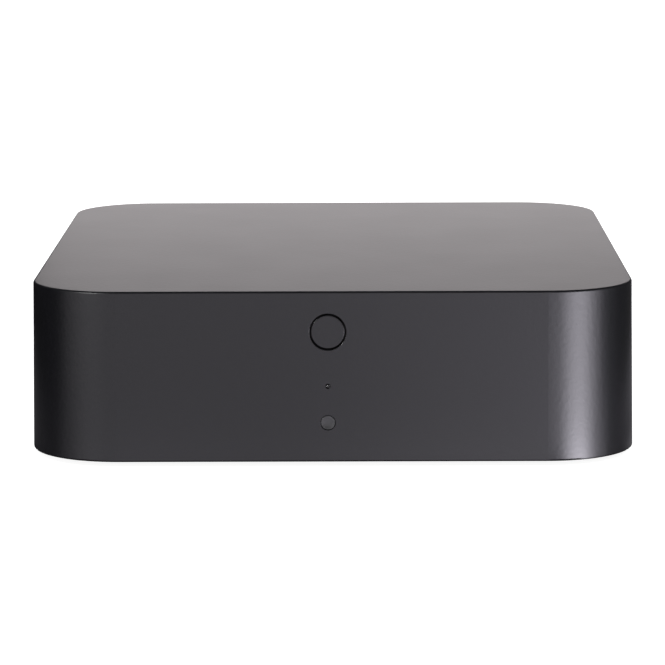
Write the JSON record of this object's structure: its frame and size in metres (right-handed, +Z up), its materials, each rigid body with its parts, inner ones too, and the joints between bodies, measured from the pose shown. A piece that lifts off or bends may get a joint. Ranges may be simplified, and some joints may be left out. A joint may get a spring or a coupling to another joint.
{
  "type": "network audio adapter",
  "caption": "Low rounded box that joins a home audio system to a network, with a front button, a pinhole light and rear sockets behind a plain satin shell.",
  "frame": {"origin": "on the ground under the middle of the whole length and width, feet at z = 0", "axes": "+X to the right seen from the front, +Y to the rear, +Z up"},
  "size_m": [0.144, 0.1766, 0.0416],
  "materials": {
    "moulded_abs_black": "satin moulded ABS with a fine spark-eroded grain",
    "gloss_abs_black": "polished black inlay",
    "moulded_abs_grey": "satin grey button plastic",
    "clear_polycarbonate": "clear light pipe, seen as a dark dot",
    "moulded_abs_base": "coarse grained black base",
    "silicone_rubber": "matt black feet",
    "zinc_plated_steel": "black or bright screws and leads",
    "glass_epoxy_board": "green solder mask",
    "epoxy_black": "chip packages",
    "nickel_silver": "tinned screening cans and socket shells",
    "extruded_aluminium": "black or plain heat sinks and capacitor cans",
    "ferrite": "pressed ferrite core",
    "moulded_nylon_white": "plug housings and relay cases",
    "moulded_nylon_black": "socket housings and switches",
    "gold_plate": "gold-plated contacts",
    "pvc_insulation": "wire insulation",
    "polyester_film": "bent insulating film",
    "fuse_glass": "fuse tube",
    "red_emitter": "red light source"
  },
  "bodies": {
    "case": {"antenna_leads": "pvc_insulation", "antenna_left": "glass_epoxy_board", "antenna_right": "glass_epoxy_board", "badge_ring": "gloss_abs_black", "base_plate": "moulded_abs_base", "bulk_capacitor": "extruded_aluminium", "case_screws": "zinc_plated_steel", "clock_crystals": "nickel_silver", "converter_chip": "epoxy_black", "ethernet_contacts": "gold_plate", "ethernet_insert": "moulded_nylon_black", "ethernet_shield": "nickel_silver", "flat_cable_sockets": "moulded_nylon_white", "front_board": "glass_epoxy_board", "front_board_screws": "zinc_plated_steel", "front_flat_cable": "polyester_film", "front_switch": "moulded_nylon_black", "fuse_clips": "nickel_silver", "fuse_tube": "fuse_glass", "harness_plugs": "moulded_nylon_white", "insulation_sheet": "polyester_film", "main_board": "glass_epoxy_board", "main_board_screws": "zinc_plated_steel", "mains_filter_choke": "ferrite", "mains_inlet": "moulded_nylon_black", "mains_inlet_pins": "nickel_silver", "memory_chips": "epoxy_black", "muting_relays": "moulded_nylon_white", "optical_emitter": "red_emitter", "optical_housing": "moulded_nylon_black", "phono_barrels": "gold_plate", "phono_blocks": "moulded_nylon_black", "phono_insulators": "moulded_nylon_white", "power_board": "glass_epoxy_board", "power_board_screws": "zinc_plated_steel", "power_harness": "pvc_insulation", "processor_chip": "epoxy_black", "processor_heatsink": "extruded_aluminium", "rear_panel": "moulded_abs_black", "rear_panel_screws": "zinc_plated_steel", "rubber_feet": "silicone_rubber", "service_switch": "moulded_nylon_black", "signal_capacitors": "extruded_aluminium", "status_led": "clear_polycarbonate", "status_light_pipe": "clear_polycarbonate", "switching_transistor": "epoxy_black", "transformer_bobbin": "moulded_nylon_white", "transformer_core": "ferrite", "transistor_heatsink": "extruded_aluminium", "upper_shell": "moulded_abs_black", "usb_shell": "nickel_silver", "usb_tongue": "moulded_nylon_white", "wireless_module": "glass_epoxy_board", "wireless_shield": "nickel_silver"},
    "front_button": {"front_button_cap": "moulded_abs_grey", "front_switch_plunger": "moulded_nylon_black"},
    "service_button": {"service_button_cap": "moulded_abs_grey", "service_switch_plunger": "moulded_nylon_black"},
    "optical_flap": {"optical_shutter": "moulded_nylon_black"}
  },
  "joints": [
    {"name": "front_button_press", "type": "slide", "parent": "case", "child": "front_button", "axis": [0, 1, 0], "range_m": [0, 0.0003], "stiffness_N_per_m": 400, "springref_m": -0.0005},
    {"name": "service_button_press", "type": "slide", "parent": "case", "child": "service_button", "axis": [0, -1, 0], "range_m": [0, 0.0003], "stiffness_N_per_m": 400, "springref_m": -0.0005},
    {"name": "optical_shutter_swing", "type": "hinge", "parent": "case", "child": "optical_flap", "pos_m": [0.019, 0.07656, 0.0175], "axis": [-1, 0, 0], "range_deg": [0, 80], "stiffness_Nm_per_rad": 0.00002, "springref_deg": -57.3}
  ]
}
